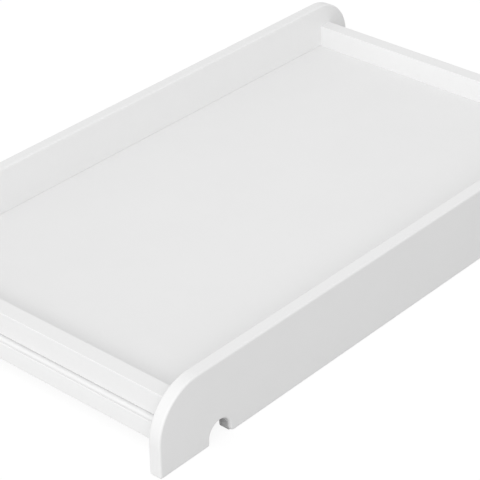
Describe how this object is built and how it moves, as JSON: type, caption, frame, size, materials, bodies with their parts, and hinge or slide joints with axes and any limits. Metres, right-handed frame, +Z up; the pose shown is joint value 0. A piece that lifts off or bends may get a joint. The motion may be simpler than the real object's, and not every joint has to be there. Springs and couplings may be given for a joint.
{
  "type": "cot top changer",
  "caption": "Shallow changing tray with raised sides and end stops, notched underneath to sit across the top side rails of a cot.",
  "frame": {"origin": "the surface that the changer stands on, at the middle of its footprint", "axes": "+X across the tray towards the right side panel, +Y along the tray towards its far end, +Z up"},
  "size_m": [0.45, 0.825, 0.0925],
  "materials": {
    "painted_panel": "smooth satin white paint on fibreboard",
    "painted_board": "smooth satin white paint on fibreboard",
    "painted_rail": "smooth satin white paint on wood",
    "painted_cross_rail": "smooth satin white paint on wood",
    "grey_liner": "matt grey soft liner",
    "zinc_bolt": "zinc plated",
    "zinc_cam": "die-cast zinc",
    "beech_dowel": "raw beech",
    "zinc_screw": "zinc plated"
  },
  "bodies": {
    "root": {"side_panel_left": "painted_panel", "side_panel_right": "painted_panel", "base_board": "painted_board", "stop_rail_near": "painted_rail", "stop_rail_far": "painted_rail", "cross_rail_near": "painted_cross_rail", "cross_rail_mid": "painted_cross_rail", "cross_rail_far": "painted_cross_rail", "notch_liner_left_near": "grey_liner", "notch_liner_left_far": "grey_liner", "notch_liner_right_near": "grey_liner", "notch_liner_right_far": "grey_liner", "cam_bolts_left": "zinc_bolt", "cam_locks_left": "zinc_cam", "stop_rail_dowels_left": "beech_dowel", "cam_bolts_right": "zinc_bolt", "cam_locks_right": "zinc_cam", "stop_rail_dowels_right": "beech_dowel", "stop_rail_screws_near": "zinc_screw", "stop_rail_screws_far": "zinc_screw"}
  },
  "joints": []
}
